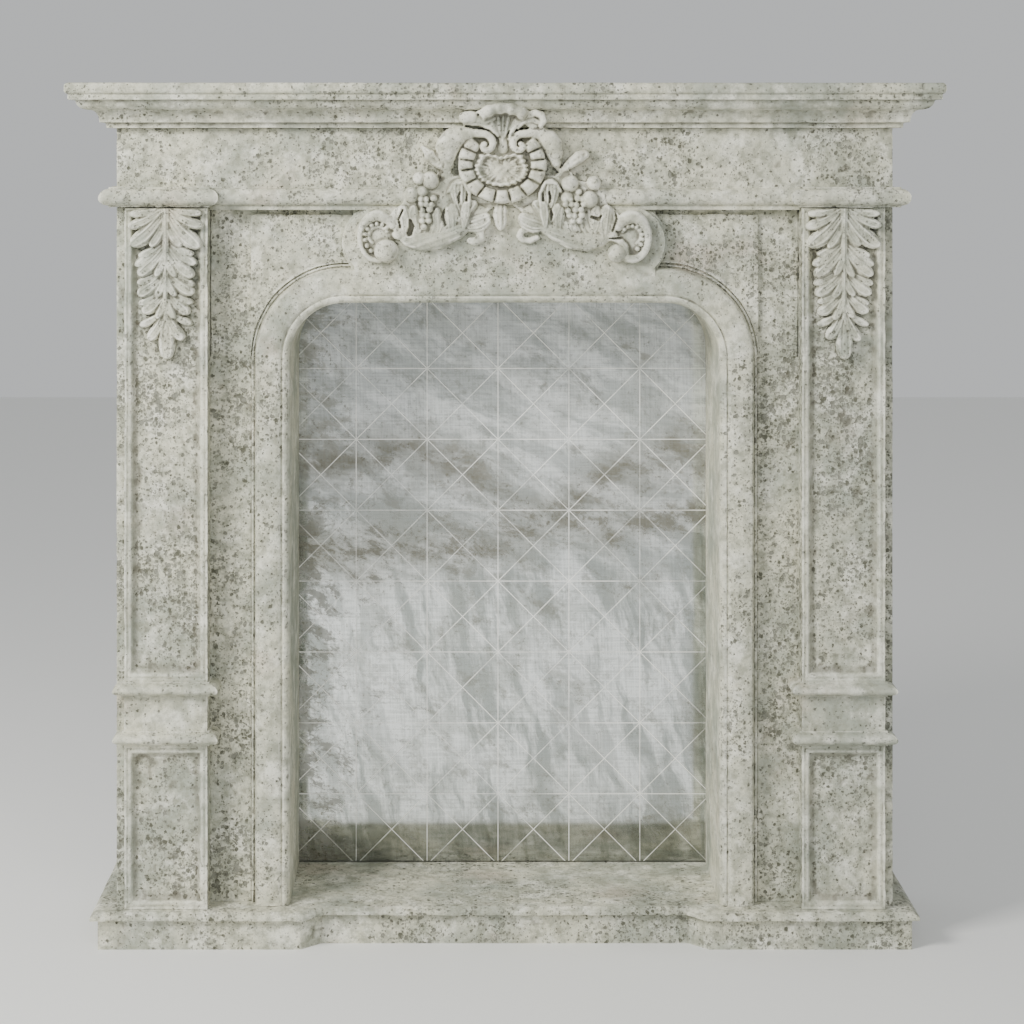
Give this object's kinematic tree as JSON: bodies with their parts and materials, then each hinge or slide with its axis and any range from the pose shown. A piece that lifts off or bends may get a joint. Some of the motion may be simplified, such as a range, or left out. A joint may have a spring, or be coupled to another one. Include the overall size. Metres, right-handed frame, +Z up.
{
  "type": "fireplace mantel",
  "caption": "Carved stone fireplace mantel: arched niche closed by an antiqued mirror, panelled pilasters with leaf drops, central cartouche, moulded shelf and stepped hearth",
  "frame": {"origin": "middle of the underside of the hearth slab, midway between the shelf's front edge and the wall face", "axes": "+Z up, +Y towards the wall behind the mantel, +X to the right as seen from the room"},
  "size_m": [1.5, 0.3536, 1.4864],
  "materials": {
    "hearth_stone": "matte",
    "leg_stone": "matte",
    "lintel_stone": "matte",
    "shelf_stone": "matte",
    "mirror": "satin"
  },
  "bodies": {
    "root": {"hearth_slab": "hearth_stone", "left_leg": "leg_stone", "right_leg": "leg_stone", "lintel": "lintel_stone", "mantel_shelf": "shelf_stone", "antique_mirror": "mirror"}
  },
  "joints": []
}
